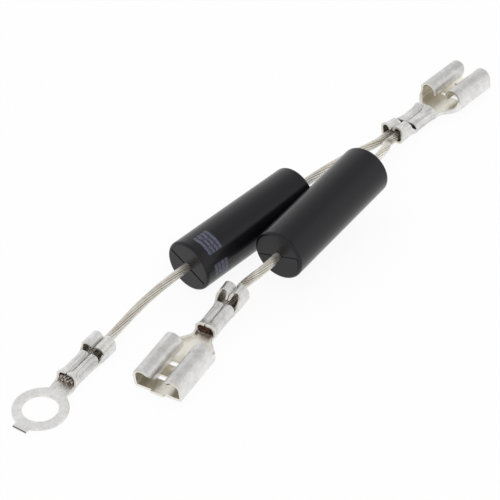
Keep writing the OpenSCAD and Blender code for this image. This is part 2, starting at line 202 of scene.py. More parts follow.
TAB_BARRELS, RING_BARRELS = barrels_from(BOX_L + NECK_L), barrels_from(RING_NECK_L)

# Digits to which rows are rounded, least distance of two rows, and distance at which points merge
ROW_DIGITS, LEAST_ROW, MERGE_GAP = 5, 0.01, 1e-4


def rows_through(stops, step, edge):
    """Places along a terminal through all the stops, about a step apart, with a row at the edge break beside
    each stop."""
    stops = np.array(stops)
    pairs = zip(stops[:-1], stops[1:])
    fill = np.concatenate([np.linspace(a, b, max(2, math.ceil((b - a) / step) + 1)) for a, b in pairs])
    beside = np.concatenate([stops, stops - edge, stops + edge])
    fill = fill[np.abs(fill[:, None] - beside).min(1) > edge / 2]
    rows = np.unique(np.round(np.concatenate([fill, beside]), ROW_DIGITS))
    return rows[(rows >= stops[0]) & (rows <= stops[-1])]


# Shares of each segment of a section at which its columns stand, and the numbers of some segments
Columns = namedtuple("Columns", "base foot wall side shoulder top curl edge")
BASE, FOOT, WALL, EDGE = 0, 1, 2, 7


def segment_of(columns):
    """Number of the segment that each column ends, from the base to the last straight end."""
    return np.concatenate([np.full(len(c), k) for k, c in enumerate(columns)])


def folded_grid(y, fold, curl_turn, columns):
    """Right half of a folded sheet's middle surface, one row for each place along it: a flat base, a quarter
    bend, a low wall, a side, a quarter bend over the shoulder, a flat top, a bend that curls the edge down,
    and a straight end. Each value of the fold has one number per row."""
    per_row = (np.broadcast_to(v, y.shape)[:, None] for v in fold)
    half, foot_r, wall, top_h, shoulder_r, flat, curl_r, edge = per_row
    curl_turn, y = curl_turn[:, None], y[:, None]
    base, foot, low, side, shoulder, top, curl, last = (np.asarray(c)[None, :] for c in columns)
    mid_h = SHEET_T / 2
    quarter, over, down = foot * math.pi / 2, shoulder * math.pi / 2, curl * curl_turn
    wall_top, side_top = mid_h + foot_r + wall, top_h - shoulder_r
    top_x = half - shoulder_r - flat
    xs = [
        (half - foot_r) * base,
        half - foot_r + foot_r * np.sin(quarter),
        half + 0 * low,
        half + 0 * side,
        half - shoulder_r + shoulder_r * np.cos(over),
        half - shoulder_r - flat * top,
        top_x - curl_r * np.sin(down),
        top_x - curl_r * np.sin(curl_turn) - edge * last * np.cos(curl_turn),
    ]
    zs = [
        mid_h + 0 * half * base,
        mid_h + foot_r - foot_r * np.cos(quarter),
        mid_h + foot_r + wall * low,
        wall_top + (side_top - wall_top) * side,
        side_top + shoulder_r * np.sin(over),
        top_h + 0 * top,
        top_h - curl_r + curl_r * np.cos(down),
        top_h - curl_r + curl_r * np.cos(curl_turn) - edge * last * np.sin(curl_turn),
    ]
    x, z = np.concatenate(xs, 1), np.concatenate(zs, 1)
    return np.stack([x, y + 0 * x, z], -1)


def lean_end(mid, segment, end, other, lean):
    """Leans the end of a barrel towards its other end: a point of the curled part moves along by the lean,
    times its height over the low wall as a share of the whole height there, and the less the further it is
    from that end."""
    y = mid[:, 0, 1]
    within = (y >= min(end, other)) & (y <= max(end, other))
    share = np.where(within, 1 - np.abs(y - end) / abs(other - end), 0)
    curled = segment > WALL
    low = mid[:, segment == WALL, 2].max(1, keepdims=True)
    top = mid[..., 2].max(1, keepdims=True)
    height = np.clip((mid[:, curled, 2] - low) / (top - low), 0, 1)
    mid[:, curled, 1] += math.copysign(1, other - end) * lean * share[:, None] * height


def across_sheet(mid):
    """Distance of each point of a grid's right half from the middle of the sheet, along its section."""
    steps = np.linalg.norm(np.diff(mid, axis=1), axis=-1)
    return np.concatenate([mid[:, :1, 0], mid[:, :1, 0] + np.cumsum(steps, 1)], 1)


def sheet_normals(mid, segment):
    """Outward normals of a folded grid, from the way across it and the way along it. Walls above the low one
    run straight."""
    across = np.gradient(mid, axis=1)
    along = np.gradient(mid, mid[:, 0, 1], axis=0)
    along[:, segment > WALL] = (0, 1, 0)
    return unit(np.cross(along, across))


def two_sided(right):
    """Grid of both sides from its right half. The two middle columns meet, or stand beside a hole."""
    return np.concatenate([right[:, ::-1] * (-1, 1, 1), right], 1)


def sheet_shell(mid, normal, solid, edge_break, marks):
    """Closed shell of a formed sheet: its outer and inner faces half a thickness off the middle surface where
    a cell is solid, side faces where it borders on none, and its rim brought in by the edge break. Gives the
    points, the faces and the marks, values for each point of the grid, with the rim among them. The mark of
    the inside is on the inner face alone."""
    around = np.pad(solid, 1)
    near = np.stack([around[:-1, :-1], around[:-1, 1:], around[1:, :-1], around[1:, 1:]])
    rim = near.any(0) & ~near.all(0)
    half = (SHEET_T / 2 - edge_break * rim)[..., None] * normal
    points = np.concatenate([(mid + half).reshape(-1, 3), (mid - half).reshape(-1, 3)])
    count = rim.size
    index = np.arange(count).reshape(rim.shape)
    a, b, c, d = index[:-1, :-1], index[:-1, 1:], index[1:, 1:], index[1:, :-1]
    inner = np.stack([a, b, c, d], -1)[solid]
    faces = [inner[:, ::-1], inner + count]
    shifted = (around[:-2, 1:-1], around[1:-1, 2:], around[2:, 1:-1], around[1:-1, :-2])
    for (p, q), other in zip(((a, b), (b, c), (c, d), (d, a)), shifted):
        border = solid & ~other
        p, q = p[border], q[border]
        faces.append(np.stack([p, q, q + count, p + count], -1))
    used, faces = np.unique(np.concatenate(faces), return_inverse=True)
    marks = {name: np.tile(values.ravel(), 2) for name, values in {"cut_edge": rim, **marks}.items()}
    marks["inside"] *= np.arange(2 * count) >= count
    return points[used], faces.reshape(-1, 4), {name: values[used] for name, values in marks.items()}


def make_piece(name, points, faces, attributes, smooth_angle):
    """Mesh object from arrays in millimetres, with its doubles merged and float attributes on its points."""
    mesh = bpy.data.meshes.new(name)
    mesh.from_pydata(points * MM, [], faces)
    for label, values in attributes.items():
        layer = mesh.attributes.new(label, "FLOAT", "POINT")
        layer.data.foreach_set("value", np.asarray(values, np.float32))
    work = bmesh.new()
    work.from_mesh(mesh)
    bmesh.ops.remove_doubles(work, verts=work.verts, dist=MERGE_GAP * MM)
    work.to_mesh(mesh)
    work.free()
    mesh.shade_smooth()
    mesh.set_sharp_from_angle(angle=math.radians(smooth_angle))
    piece = bpy.data.objects.new(name, mesh)
    bpy.context.scene.collection.objects.link(piece)
    return piece


def stand_in(node, kind, shape, smooth_angle, finish):
    """Piece that takes the place of a node, with its finish and slot."""
    piece = make_piece(f"{node}_{kind}", *shape, smooth_angle)
    piece.data.materials.append(finish)
    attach(piece, BODY)
    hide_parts(node)


# Section ahead of a wire barrel, length of its turn into the barrel, rise of the low wall where that starts
Before = namedtuple("Before", "fold length rise")
BEFORE_TAB_WIRE = Before(BOX, NECK_L, BOX_WALL_RISE)
BEFORE_RING_WIRE = Before(SINGLE_WIRE, length=1.0, rise=0.0)


def barrel_section(y, at, wire, before, bell_rear):
    """Section along both barrels and the strap between them, as the section before turns into them. Low walls
    rise in ramps towards the insulation barrel and the rolled wings. The wire barrel's mouth is open: its
    shoulders are rounder, its top is higher and its edges curl down less. Its cable end is a little higher
    too, and that of the insulation barrel by its own share."""
    settings = bpy.context.scene.diode_terminals
    neck_start = at.start - before.length
    to_wire = eased(NECK_HASTE * (y - neck_start) / before.length)
    to_grip = eased((y - at.wire_end) / STRAP_L)
    fold = Fold(*(a + (b - a) * to_wire + (c - b) * to_grip for a, b, c in zip(before.fold, wire, GRIP)))
    grip_ramp = GRIP_WALL_RISE * ramp(y, at.grip_start, GRIP_WALL_REACH)
    neck_ramp = before.rise * ramp(y, neck_start, BOX_WALL_REACH)
    in_wire = (y > at.start - before.length / 2) & (y < at.wire_end + STRAP_L / 2)
    mouth = np.where(in_wire, eased(1 - (y - at.start) / OPEN_L), 0)
    rear = bell_rear * bump_at(y, at.grip_end, REAR_L)
    rise = mouth + CABLE_RISE * np.where(in_wire, bump_at(y, at.wire_end, CABLE_RISE_L), 0) + rear
    flares = bump_at(y, at.start, MOUTH_FLARE_L) + CABLE_FLARE * bump_at(y, at.wire_end, CABLE_FLARE_L)
    flare = np.where(in_wire, flares, 0) * settings.bell / MM
    curl_turn = math.pi / 2 + (settings.mouth_turn - math.pi / 2) * mouth
    rounder = OPEN_ROUNDER * mouth
    fold = fold._replace(
        half=fold.half + flare + REAR_WIDER * rear,
        wall=fold.wall + grip_ramp + neck_ramp,
        top_h=fold.top_h + settings.mouth_rise / MM * rise,
        shoulder_r=fold.shoulder_r + rounder,
        flat=fold.flat + flare - rounder + (fold.curl_r + SHEET_T / 2) * (1 - np.sin(curl_turn)),
    )
    return fold, curl_turn


def lean_barrels(mid, segment, at, grip_lean):
    """Leans both ends of a wire barrel a little towards the cable, and the front of the insulation barrel by
    its own lean."""
    lean_end(mid, segment, at.start, at.wire_end, MOUTH_LEAN)
    lean_end(mid, segment, at.wire_end, at.start, CABLE_LEAN)
    lean_end(mid, segment, at.grip_start, at.grip_end, grip_lean / MM)


def sheet_marks(mid, at, folded, shade_all_over):
    """Values for the finish: the place across and along the sheet; how hard it was worked, which is one in
    the wire barrel and less in the insulation barrel; how far it is folded; how much painted shade it gets,
    by a given share all over and by its height in rolled wings; and where it was torn off its strip, which is
    nowhere yet."""
    y = mid[:, 0, 1]
    across = across_sheet(mid)
    worked = eased((y - at.start) / WORKED_L) - GRIP_SPARED * eased((y - at.wire_end) / STRAP_L)
    # Painted shade: the higher a point stands in a receptacle's rolled wings, the darker it is painted, and a
    # given share all over
    rolled = np.clip((mid[..., 2] - BOX.top_h / 2) / (BOX.top_h / 2), 0, 1) * (y < at.start)[:, None]
    dulled = shade_all_over + rolled
    columns = 2 * mid.shape[1]
    return {
        "across": np.concatenate([-across[:, ::-1], across], 1),
        "along": two_sided(mid)[..., 1],
        "worked": np.repeat(worked[:, None], columns, 1),
        "inside": np.repeat(folded[:, None], columns, 1),
        "dulled": np.concatenate([dulled[:, ::-1], dulled], 1),
        "torn": np.zeros((len(y), columns)),
    }


# Columns of both kinds of terminal. In a receptacle's base they stand at given places and close to its cuts
LOW, SIDE = np.array([0.4, 0.8, 1.0]), np.array([0.3, 0.7, 1.0])
ROUND, ONE = np.arange(1, 13) / 12, np.ones(1)
BASE_HALF = BOX.half - BOX.foot_r
DIMPLE_X, OUTER_X = (0, 0.12, 0.24, 0.36, 0.48, 0.62, 0.8), (1.9, 2.3, 2.7, 3.0, BASE_HALF)
AT_CUT = np.array([-0.06, 0, 0.06])
BASE_X = np.array([*DIMPLE_X, *(CUTOFF_HALF + AT_CUT), *(SLOT_HALF + AT_CUT), *OUTER_X])
TAB_FOOT, TAB_END = np.arange(1, 7) / 6, np.array([0.45, 0.9, 1.0])
TAB_COLUMNS = Columns(BASE_X / BASE_HALF, TAB_FOOT, LOW, SIDE, ROUND, ONE, ROUND, TAB_END)
RING_BASE = np.array([0, 0.05, 0.2, 0.4, 0.6, 0.8, 1.0])
RING_FOOT = np.array([0.15, 0.3, 0.45, 0.6, 0.75, 0.9, 1.0])
RING_COLUMNS = Columns(RING_BASE, RING_FOOT, LOW, SIDE, ROUND, ONE, ROUND, ONE)

# Angles at which rows cross the ring's rim and its hole, and shares of base and foot in a flat row
RIM_ANGLES, HOLE_ANGLES = np.radians(np.arange(-72, 88, 4)), np.radians(np.arange(-90, 91, 6))
FLAT_BASE, FLAT_FOOT = 0.6, 0.4


def receptacle_shell(wire, grip_lean, bell_rear, shade_all_over):
    """Tab receptacle from one sheet: rolled wings over a slotted base with a dimple, a neck that narrows, and
    two barrels. Towards the entry the wings first lose their straight ends, then the end of their curl."""
    settings = bpy.context.scene.diode_terminals
    edge = settings.edge_break / MM
    at = TAB_BARRELS
    y = rows_through([-TAB_CUTOFF_L, 0, *np.ravel(SLOTS), BOX_L, *at], settings.row_step / MM, edge)
    fold, curl_turn = barrel_section(y, at, wire, BEFORE_TAB_WIRE, bell_rear)
    entry = np.clip(1 - y / ENTRY_CUT, 0, 1)
    fold = fold._replace(edge=fold.edge * np.clip(1 - 2 * entry, ENTRY_EDGE, 1))
    curl_turn = curl_turn - ENTRY_TURN * np.clip(2 * entry - 1, 0, 1)
    mid = folded_grid(y, fold, curl_turn, TAB_COLUMNS)
    segment = segment_of(TAB_COLUMNS)
    marks = sheet_marks(mid, at, np.ones_like(y), shade_all_over)
    lean_barrels(mid, segment, at, grip_lean)
    normal = sheet_normals(mid, segment)
    flat_x = np.where(segment == BASE, mid[np.searchsorted(y, PLAIN_Y), :, 0], BOX.half)
    dome = DIMPLE_H * bump_at(np.hypot(flat_x[None, :], y[:, None] - DIMPLE_Y), 0, DIMPLE_R)
    mid[..., 2] += np.where(segment[None, :] == BASE, dome, 0)

    row, cell = (y[1:] + y[:-1]) / 2, segment[1:]
    cell_x = (flat_x[1:] + flat_x[:-1]) / 2
    low_row = ((row > BOX_L) & (row < at.start)) | ((row > at.wire_end) & (row < at.grip_start))
    solid = ~(low_row[:, None] & (cell > WALL)) & ~((row > BOX_L)[:, None] & (cell == EDGE))
    solid &= ~((row < 0)[:, None] & ~((cell == BASE) & (cell_x < CUTOFF_HALF)))
    for slot_from, slot_to in SLOTS:
        in_slot = (row > slot_from) & (row < slot_to)
        solid &= ~(in_slot[:, None] & (cell == BASE) & (cell_x < SLOT_HALF))
    both = np.concatenate([solid[:, ::-1], solid[:, :1], solid], 1)
    return sheet_shell(two_sided(mid), two_sided(normal), both, edge, marks)


TAB_Y = -math.sqrt(RING_R**2 - CUTOFF_HALF**2)


def ring_rows(step, edge):
    """Places along the ring terminal. Across the flat ring they stand at even angles of its rim and hole."""
    y = rows_through([-RING_R - RING_CUTOFF_L, TAB_Y, RING_R, *RING_BARRELS], step, edge)
    rim, hole = RING_R * np.sin(RIM_ANGLES), HOLE_R * np.sin(HOLE_ANGLES)
    rim = rim[np.abs(np.abs(rim) - HOLE_R) > 2 * edge]
    circles = np.concatenate([rim, hole, [-HOLE_R - edge, HOLE_R + edge]])
    flat = (y > TAB_Y + edge) & (y < RING_R)
    y = np.unique(np.round(np.concatenate([y[~flat], circles]), ROW_DIGITS))
    return y[np.concatenate([[True], np.diff(y) > LEAST_ROW])]


def half_chord(r, y):
    """Half width of a circle at a place: root of the squared radius less the squared place."""
    return np.sqrt(np.clip(r**2 - y**2, 0, None))


def ring_outline(y):
    """Half width of the flat part: the cut-off tab, then the circle, then the neck. From the fillet on it is
    the larger of circle and neck, made smooth: half of their sum and of the root of their squared difference
    and a bump."""
    circle = half_chord(RING_R, y)
    neck = RING_NECK_HALF + WIDER * eased((y - WIDER_Y) / WIDER_L)
    soft = 0.5 * (circle + neck + np.sqrt((circle - neck) ** 2 + FILLET * bump_at(y, FILLET_Y, FILLET_L)))
    return np.where(y > FILLET_FROM, soft, np.where(y <= TAB_Y, CUTOFF_HALF, circle))


def ring_shell():
    """Ring terminal from one sheet: a flat ring with its cut-off tab, a neck that folds up, and two barrels.
    Its flat rows run from the hole, or the middle, to the outline; towards the barrel they turn into the
    folded section."""
    settings = bpy.context.scene.diode_terminals
    edge = settings.edge_break / MM
    at, columns = RING_BARRELS, RING_COLUMNS
    y = ring_rows(settings.row_step / MM, edge)
    fold, curl_turn = barrel_section(y, at, SINGLE_WIRE, BEFORE_RING_WIRE, 0.0)
    mid = folded_grid(y, fold, curl_turn, columns)
    segment = segment_of(columns)
    share = np.concatenate([FLAT_BASE * columns.base, FLAT_BASE + FLAT_FOOT * columns.foot])
    inner = half_chord(HOLE_R, y)
    flat_x = inner[:, None] + (ring_outline(y) - inner)[:, None] * share[None, :]
    folded = eased((y - at.start + RING_FOLD_L) / RING_FOLD_L)[:, None]
    low, wall = segment < WALL, segment == WALL
    mid[:, low, 0] = flat_x + (mid[:, low, 0] - flat_x) * folded
    mid[:, low, 2] = SHEET_T / 2 + (mid[:, low, 2] - SHEET_T / 2) * folded
    foot_end = mid[:, low][:, -1:]
    mid[:, wall, 0] = foot_end[..., 0]
    mid[:, wall, 2] = foot_end[..., 2] + fold.wall[:, None] * columns.wall * folded
    marks = sheet_marks(mid, at, folded[:, 0], 0.0)
    marks["torn"][0] = 1
    lean_barrels(mid, segment, at, settings.grip_lean)
    normal = sheet_normals(mid, segment)
    normal[y < at.start - RING_FOLD_L] = (0, 0, -1)

    row, cell = (y[1:] + y[:-1]) / 2, segment[1:]
    solid = ~((row < at.start)[:, None] & (cell > FOOT)) & (cell < EDGE)[None, :]
    solid &= ~(((row > at.wire_end) & (row < at.grip_start))[:, None] & (cell > WALL))
    middle = solid[:, :1] & (np.abs(row) > HOLE_R)[:, None]
    both = np.concatenate([solid[:, ::-1], middle, solid], 1)
    return sheet_shell(two_sided(mid), two_sided(normal), both, edge, marks)


# Stranded leads

# Lead: its radius, its height in the crimp, and its gap from the middle of a shared crimp
LEAD_R, LEAD_H, LEAD_GAP = 0.625, 1.045, 0.02

# Its line: depth of the root, straight ends, and shares of the span that shape the curve between them
ROOT_DEPTH, LEAD_STRAIGHT, LEAVE_SHARE, ENTER_SHARE = 0.3, 1.2, 0.55, 0.2
BODY_L = 22.0

# Where the strands get pressed and where painted shade darkens them in the crimp, and the mouth where they
# spread again
PRESS_FROM, PRESS_L, STRAND_SHADE_L, MOUTH_L = 0.9, 1.7, 1.2, 1.0

# Rings of strands round the one in the core
INNER_R, INNER_STRANDS, OUTER_R, OUTER_STRANDS = 0.25, 6, 0.5, 12

# Flat bed that the crimp presses the strands into: height and half height, and what the mouth adds to both
BED_Z, BED_HALF, MOUTH_RISE, MOUTH_HALF = -0.375, 0.12, 0.32, 0.34

# Offset and half width of the bed for a lead alone in its crimp and for one beside another
ALONE, BESIDE = (0.0, 0.95), (0.06, 0.52)

# Uneven cut ends: shares of the last stretch, most length lost, and stations that show the cut
END_SHARES = np.array([0.25, 0.5, 0.75, 1.0])
UNEVEN, CUT_STATIONS = 0.5, 2
ENDS_SEED, TONE_SEED = 11, 7

# Rows along each stretch of a lead
CURVE_ROWS, GRIP_ROWS, STRAP_ROWS, WIRE_ROWS = 56, 14, 9, 9


class LeadSettings(bpy.types.PropertyGroup):
    """Sizes and colours of the stranded leads."""

    strand_d: FloatProperty(
        name="Strand", description="Diameter of one strand", default=0.255 * MM, unit="LENGTH"
    )
    lay: FloatProperty(
        name="Lay", description="Length over which the strands go round once", default=34 * MM, unit="LENGTH"
    )
    sides: IntProperty(name="Sides", description="Faces round each strand", default=8, min=5, max=16)
    tinned: FloatVectorProperty(
        name="Tinned Copper", description="Colour of the strands", default=(0.95, 0.94, 0.90), subtype="COLOR"
    )
    # Also the colour of the painted shade on strands in the crimp, at a share of its brightness
    worn: FloatVectorProperty(
        name="Worn", description="Colour of worn tinning", default=(0.68, 0.64, 0.57), subtype="COLOR"
    )
    cut: FloatVectorProperty(
        name="Cut Ends", description="Colour of cut strands", default=(0.17, 0.06, 0.045), subtype="COLOR"
    )


# A lead: its node, place and way in which it leaves its body, frame and barrels of its terminal, side in the
# crimp, bed there, how far its ends stand out, how much of the cut colour they show, and rounds in one lay
Lead = namedtuple("Lead", "node face outward terminal barrels side bed reach cut rounds")


def lead_line(lead):
    """Middle line of a lead: out of its body, along a cubic curve to the crimp, and straight through it.
    Gives places, ways, and how far strands are pressed, spread in the mouth and darkened by painted shade,
    from 0 to 1."""
    right, along, up, origin = lead.terminal
    at = lead.barrels
    x = lead.side * (LEAD_R + LEAD_GAP)
    mouth_y = at.start + MOUTH_L

    def in_crimp(y):
        y = np.atleast_1d(y)[:, None]
        return origin + x * right + y * along + LEAD_H * up

    leave = lead.face + lead.outward * LEAD_STRAIGHT
    enter = in_crimp(at.grip_end + LEAD_STRAIGHT)[0]
    span = np.linalg.norm(enter - leave)
    b, c = leave + lead.outward * span * LEAVE_SHARE, enter + along * span * ENTER_SHARE
    t = np.linspace(0, 1, CURVE_ROWS)[:, None]
    curve = (1 - t) ** 3 * leave + 3 * (1 - t) ** 2 * t * b + 3 * (1 - t) * t**2 * c + t**3 * enter
    root = lead.face - lead.outward * np.array([[ROOT_DEPTH], [0.0]])
    crimp_y = np.concatenate(
        [
            np.linspace(at.grip_end + LEAD_STRAIGHT, at.grip_start, GRIP_ROWS)[1:],
            np.linspace(at.grip_start, at.wire_end, STRAP_ROWS)[1:-1],
            np.linspace(at.wire_end, mouth_y, WIRE_ROWS),
            mouth_y - (MOUTH_L + lead.reach) * END_SHARES,
        ]
    )
    places = np.concatenate([root, curve, in_crimp(crimp_y)])
    ways = unit(np.gradient(places, axis=0))
    free = np.zeros(len(root) + len(curve))
    pressed = np.concatenate([free, eased((at.wire_end + PRESS_FROM - crimp_y) / PRESS_L)])
    spread = np.concatenate([free, eased((mouth_y - crimp_y) / MOUTH_L)])
    # Painted shade on the strands in the crimp, fading out in the mouth
    hidden = np.concatenate([free, eased((at.grip_end - crimp_y) / STRAND_SHADE_L)]) * (1 - spread)
    return places, ways, pressed, spread, hidden


def strand_layout():
    """Radius and first angle of each strand's middle: one in the core, then two rings round it, the outer one
    turned by half a strand."""
    inner = np.arange(INNER_STRANDS) * math.tau / INNER_STRANDS
    outer = (np.arange(OUTER_STRANDS) + 0.5) * math.tau / OUTER_STRANDS
    radius = np.concatenate([[0.0], np.full(INNER_STRANDS, INNER_R), np.full(OUTER_STRANDS, OUTER_R)])
    return radius, np.concatenate([[0.0], inner, outer])


def strand_faces(strands, stations, sides):
    """Faces of tubes with closed ends: quads along each tube, and a fan of triangles round the middle of each
    end. These middles follow all the points of the tubes, two for each strand."""
    index = np.arange(strands * stations * sides).reshape(strands, stations, sides)
    after = np.roll(index, -1, axis=2)
    walls = np.stack([index[:, :-1], after[:, :-1], after[:, 1:], index[:, 1:]], -1).reshape(-1, 4)
    hub = index.size + np.arange(2 * strands).reshape(-1, 2, 1)
    first, last = (np.broadcast_arrays(index[:, k], after[:, k], hub[:, k]) for k in (0, -1))
    first, last = np.stack(first[::-1], -1).reshape(-1, 3), np.stack(last, -1).reshape(-1, 3)
    return walls.tolist() + first.tolist() + last.tolist()


def stranded_lead(lead):
    """Bundle of strands along a lead's middle line: each strand's middle goes round the line at its own
    radius, and is pressed into a flat bed in the crimp. Each strand is a tube with closed ends."""
    settings = bpy.context.scene.diode_leads
    places, ways, pressed, spread, hidden = lead_line(lead)
    stations, sides = len(places), settings.sides
    right = lead.terminal[0]
    side = unit(right - (ways @ right)[:, None] * ways)
    up = np.cross(ways, side)
    run = np.concatenate([[0], np.cumsum(np.linalg.norm(np.diff(places, axis=0), axis=1))])
    radius, first = strand_layout()
    strands = len(radius)
    angle = first[:, None] + math.tau * lead.rounds * run[None, :] * MM / settings.lay
    share = (radius / OUTER_R)[:, None]
    bed_x, bed_half = lead.bed
    flat_x = lead.side * bed_x + bed_half * share * np.cos(angle)
    flat_z = BED_Z + MOUTH_RISE * spread + (BED_HALF + MOUTH_HALF * spread) * share * np.sin(angle)
    x = radius[:, None] * np.cos(angle) * (1 - pressed) + flat_x * pressed
    z = radius[:, None] * np.sin(angle) * (1 - pressed) + flat_z * pressed
    middle = places + x[..., None] * side + z[..., None] * up
    uneven = UNEVEN * np.random.default_rng(ENDS_SEED).random(strands)[:, None, None]
    middle[:, -len(END_SHARES) :] -= uneven * END_SHARES[:, None] * ways[-1]
    turn = np.arange(sides) * math.tau / sides
    strand_r = settings.strand_d / MM / 2
    ring = strand_r * (np.cos(turn)[:, None] * side[:, None, :] + np.sin(turn)[:, None] * up[:, None, :])
    tube = middle[:, :, None, :] + ring[None]
    ends = middle[:, [0, -1], None, :]
    points = np.concatenate([tube.reshape(-1, 3), ends.reshape(-1, 3)])
    tone = np.random.default_rng(TONE_SEED).random(strands)
    cut = np.zeros((strands, stations, sides))
    cut[:, -CUT_STATIONS:] = lead.cut
    marks = {
        "strand_tone": np.concatenate([np.repeat(tone, stations * sides), np.repeat(tone, 2)]),
        "cut_end": np.concatenate([cut.ravel(), np.tile([0.0, lead.cut], strands)]),
        "hidden": np.concatenate([np.tile(np.repeat(hidden, sides), strands), np.zeros(2 * strands)]),
    }
    return points, strand_faces(strands, stations, sides), marks


def lead_of(node, body, far, crimp, side, ends, rounds):
    """Lead that leaves a body by its far or its near end face and ends in a crimp: alone there at side 0, or
    beside another at side 1 or -1."""
    face = placed(np.array([0, BODY_L * far, 0]), body)
    outward = body[1] if far else -body[1]
    return Lead(node, face, outward, *crimp, side, BESIDE if side else ALONE, *ends, rounds)


# Frames and barrels of the crimps; reach and cut colour of the ends that are seen and of those that are not
RING_CRIMP, TAB_CRIMP = (RING_FRAME, RING_BARRELS), (TAB_FRAME, TAB_BARRELS)
COMMON_CRIMP = (COMMON_FRAME, TAB_BARRELS)
SEEN_ENDS, UNSEEN_ENDS = (0.3, 0.35), (-0.1, 1)
LEADS = (
    lead_of("rectifier_ring_lead", RECTIFIER_FRAME, False, RING_CRIMP, 0, SEEN_ENDS, rounds=1),
    lead_of("rectifier_common_lead", RECTIFIER_FRAME, True, COMMON_CRIMP, 1, UNSEEN_ENDS, rounds=1),
    lead_of("protector_tab_lead", PROTECTOR_FRAME, False, TAB_CRIMP, 0, UNSEEN_ENDS, rounds=2.4),
    lead_of("protector_common_lead", PROTECTOR_FRAME, True, COMMON_CRIMP, -1, UNSEEN_ENDS, rounds=1.4),
)


# Materials


class Value:
    """One socket of a node tree. Arithmetic and comparisons on it add Math nodes."""

    def __init__(self, nodes, socket):
        self.nodes, self.socket = nodes, socket

    def __add__(self, other):
        return self.nodes.math("ADD", self, other)

    def __sub__(self, other):
        return self.nodes.math("SUBTRACT", self, other)

    def __rsub__(self, other):
        return self.nodes.math("SUBTRACT", other, self)

    def __mul__(self, other):
        return self.nodes.math("MULTIPLY", self, other)

    __radd__, __rmul__ = __add__, __mul__

    def __truediv__(self, other):
        return self.nodes.math("DIVIDE", self, other)

    def __gt__(self, other):
        return self.nodes.math("GREATER_THAN", self, other)

    def __lt__(self, other):
        return self.nodes.math("LESS_THAN", self, other)


class Nodes:
    """Node tree of a material or of the world. All its nodes come from node()."""

    def __init__(self, tree):
        self.tree = tree

    def node(self, kind, settings, inputs, output=0):
        """Adds a node, with its settings first and then the values or links of its sockets. Gives one of its
        outputs, or a list of them where output is a tuple of names."""
        made = self.tree.nodes.new(kind)
        for key, value in settings.items():
            setattr(made, key, value)
        for key, value in inputs.items():
            self.put(made.inputs[key], value)
        if isinstance(output, tuple):
            return [Value(self, made.outputs[name]) for name in output]
        return Value(self, made.outputs[output])

    def put(self, socket, value):
        """Links a value to a socket, or sets the socket to a number or colour."""
        if isinstance(value, Value):
            self.tree.links.new(value.socket, socket)
        else:
            socket.default_value = value

    def math(self, operation, *terms):
        """Result of a Math node on values and numbers."""
        return self.node("ShaderNodeMath", {"operation": operation}, dict(enumerate(terms)))

    def clamped(self, value):
        """Value kept between nothing and one."""
        return self.node("ShaderNodeClamp", {}, {"Value": value})

    def lively(self, noise, contrast=2.6):
        """Noise with its contrast raised about the middle, between nothing and one."""
        return self.clamped((noise - 0.5) * contrast + 0.5)

    def noise(self, vector, scale, detail=3.0, roughness=0.55):
        """Noise with a number of waves per unit of the vector."""
        inputs = {"Vector": vector, "Scale": scale, "Detail": detail, "Roughness": roughness}
        return self.node("ShaderNodeTexNoise", {}, inputs)

    def mix(self, factor, a, b):
        """Colour between a and b."""
        return self.node("ShaderNodeMix", {"data_type": "RGBA"}, {0: factor, 6: a, 7: b}, 2)

    def attribute(self, name):
        """Float attribute of a mesh."""
        return self.node("ShaderNodeAttribute", {"attribute_name": name}, {}, "Fac")

    def bump(self, height, strength, depth):
        """Normal of a relief with a depth in millimetres."""
        inputs = {"Height": height, "Strength": strength, "Distance": depth * MM}
        return self.node("ShaderNodeBump", {}, inputs)

    def seen_directly(self):
        """One for camera, glossy and transmission rays, and nothing for the light that falls on the part."""
        rays = ("Is Camera Ray", "Is Glossy Ray", "Is Transmission Ray")
        camera, glossy, through = self.node("ShaderNodeLightPath", {}, {}, rays)
        return camera + glossy + through > 0.5


class Finish(Nodes):
    """Material with one Principled surface."""

    def __init__(self, name):
        self.material = bpy.data.materials.new(name)
        self.material.use_nodes = True
        super().__init__(self.material.node_tree)
        self.surface = self.tree.nodes["Principled BSDF"]
        self.where = self.node("ShaderNodeTexCoord", {}, {}, "Object")

    def set(self, **inputs):
        """Sets or links sockets of the surface, named in lower case with underscores."""
        for key, value in inputs.items():
            self.put(self.surface.inputs[key.replace("_", " ").title().replace("Ior", "IOR")], value)


def opaque(colour, level=1.0):
    """Colour at a level of its brightness, with full cover."""
    return (*(level * v for v in colour), 1.0)


# Waves of noise per metre, and of the drawn lines per millimetre across and along the sheet
TIN_CLOUDS, TIN_GRAIN, STRAND_CLOUDS, STRAND_GRAIN = 700, 2600, 900, 4000
DRAWN_ACROSS, DRAWN_ALONG = 4.5, 0.15
EPOXY_CLOUDS, EPOXY_GRAIN, INK_SPECKS, DIE_GRAIN = 260, 3800, 4200, 2400

# Brightness of the darker tin, for mottling and painted shade, of the painted shade in the barrels, of torn
# edges and of the painted shade on crimped strands, as shares of the plain colours
DULL_TIN_AND_SHADE, SHADED, TORN, STRAND_SHADE_LEVEL = 0.5, 0.5, 0.25, 0.4

# Blocks of printed bars, in degrees round the rectifier's axis
BAR_BLOCKS = ((44, 96), (-13, 20))

# Dice in their stack, with solder between them
DIE_PITCH, SOLDER_SHARE = 0.5, 0.22
SILICON, SOLDER = (0.09, 0.095, 0.11), (0.5, 0.5, 0.49)


